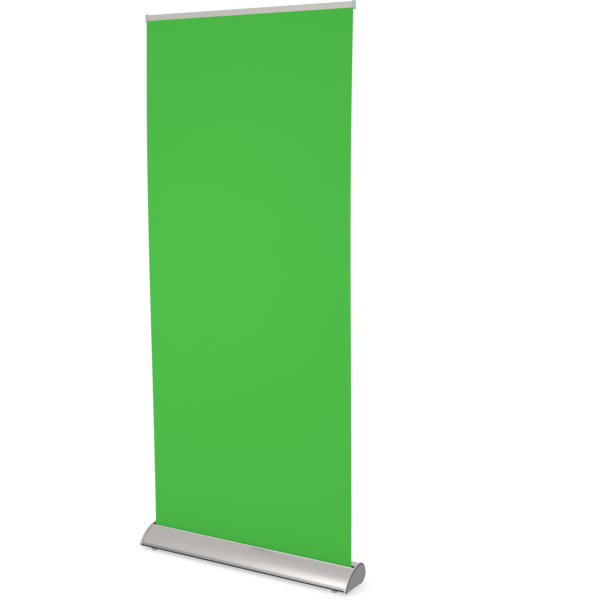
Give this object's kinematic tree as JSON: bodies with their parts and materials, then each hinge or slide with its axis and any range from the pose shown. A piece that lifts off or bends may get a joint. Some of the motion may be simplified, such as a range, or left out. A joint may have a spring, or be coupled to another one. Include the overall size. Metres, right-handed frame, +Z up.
{
  "type": "roll-up banner stand",
  "caption": "Roll-up banner stand: teardrop aluminium base with a sprung roller, tall plain film, top rail and telescopic rear pole.",
  "frame": {"origin": "on the floor, under the middle of the stand's bounding box", "axes": "+X to the right seen from the printed side, +Y to the back, +Z up"},
  "size_m": [0.945, 0.151, 2.1044],
  "materials": {
    "casing_aluminium": "satin anodised, fine lengthwise grain",
    "cap_plastic": "smooth silver-grey moulding",
    "black_plastic": "fine matt moulding",
    "zinc_steel": "zinc plated",
    "bright_steel": "drawn bar",
    "spring_steel": "oiled spring wire",
    "roller_aluminium": "mill finish",
    "nylon": "natural nylon",
    "film_green": "matt printed film, plain green on the front and grey behind",
    "film_leader": "matt unprinted film",
    "clear_tape": "adhesive tape",
    "rail_aluminium": "satin anodised",
    "rail_cap_plastic": "pale blue-grey translucent moulding",
    "pole_aluminium": "clear anodised tube",
    "knob_plastic": "clear-white translucent moulding",
    "pad_rubber": "matt black"
  },
  "bodies": {
    "base": {"casing": "casing_aluminium", "end_bracket_left": "black_plastic", "end_bracket_right": "black_plastic", "bracket_screws": "zinc_steel", "end_cap_left": "cap_plastic", "end_cap_right": "cap_plastic", "spring_shaft": "bright_steel", "spring_anchor": "black_plastic", "torsion_spring": "spring_steel", "idle_pin": "bright_steel", "banner_film": "film_green", "pole_socket": "black_plastic", "socket_screws": "zinc_steel", "pole_foot": "black_plastic", "pole_lower": "pole_aluminium", "lower_collet": "nylon", "foot_inserts": "zinc_steel", "rear_pads": "pad_rubber"},
    "roller": {"roller_tube": "roller_aluminium", "roller_plug_left": "black_plastic", "roller_plug_right": "black_plastic", "roller_bush_left": "nylon", "roller_bush_right": "nylon", "film_turns": "film_leader"},
    "rail": {"top_rail": "rail_aluminium", "rail_cap_left": "rail_cap_plastic", "rail_cap_right": "rail_cap_plastic", "rail_tape": "clear_tape"},
    "lower_collar": {"lower_collar": "black_plastic"},
    "pole_mid": {"pole_mid": "pole_aluminium", "mid_bush": "nylon", "mid_collet": "nylon"},
    "mid_collar": {"mid_collar": "black_plastic"},
    "pole_upper": {"pole_upper": "pole_aluminium", "upper_bush": "nylon", "pole_hook": "black_plastic"},
    "foot_stud_left": {"foot_stud_left": "bright_steel"},
    "foot_knob_left": {"foot_knob_left": "knob_plastic"},
    "foot_stud_right": {"foot_stud_right": "bright_steel"},
    "foot_knob_right": {"foot_knob_right": "knob_plastic"}
  },
  "joints": [
    {"name": "rail_drop", "type": "slide", "parent": "base", "child": "rail", "axis": [0, 0, 1], "range_m": [-2, 0], "deforming": ["banner_film"]},
    {"name": "roller_spin", "type": "hinge", "parent": "base", "child": "roller", "pos_m": [0, -0.01523, 0.04253], "axis": [1, 0, 0], "range_deg": [-5680, 0]},
    {"name": "lower_collar_twist", "type": "hinge", "parent": "base", "child": "lower_collar", "pos_m": [0, 0.03, 0.753], "axis": [0, 0, 1], "range_deg": [0, 90]},
    {"name": "pole_mid_slide", "type": "slide", "parent": "base", "child": "pole_mid", "axis": [0, 0, 1], "range_m": [-0.615, 0]},
    {"name": "mid_collar_twist", "type": "hinge", "parent": "pole_mid", "child": "mid_collar", "pos_m": [0, 0.03, 1.418], "axis": [0, 0, 1], "range_deg": [0, 90]},
    {"name": "pole_upper_slide", "type": "slide", "parent": "pole_mid", "child": "pole_upper", "axis": [0, 0, 1], "range_m": [-0.64, 0]},
    {"name": "foot_left_lift", "type": "slide", "parent": "base", "child": "foot_stud_left", "axis": [0, 0, 1], "range_m": [-0.003, 0]},
    {"name": "foot_left_turn", "type": "hinge", "parent": "foot_stud_left", "child": "foot_knob_left", "pos_m": [-0.4125, -0.056, 0.005], "axis": [0, 0, 1], "range_deg": [-1080, 0]},
    {"name": "foot_right_lift", "type": "slide", "parent": "base", "child": "foot_stud_right", "axis": [0, 0, 1], "range_m": [-0.003, 0]},
    {"name": "foot_right_turn", "type": "hinge", "parent": "foot_stud_right", "child": "foot_knob_right", "pos_m": [0.4125, -0.056, 0.005], "axis": [0, 0, 1], "range_deg": [-1080, 0]}
  ],
  "couplings": [
    {"joint": "roller_spin", "follows": "rail_drop", "rad_per_m": 49.4},
    {"joint": "foot_left_lift", "follows": "foot_left_turn", "m_per_rad": 0.00015915},
    {"joint": "foot_right_lift", "follows": "foot_right_turn", "m_per_rad": 0.00015915}
  ]
}
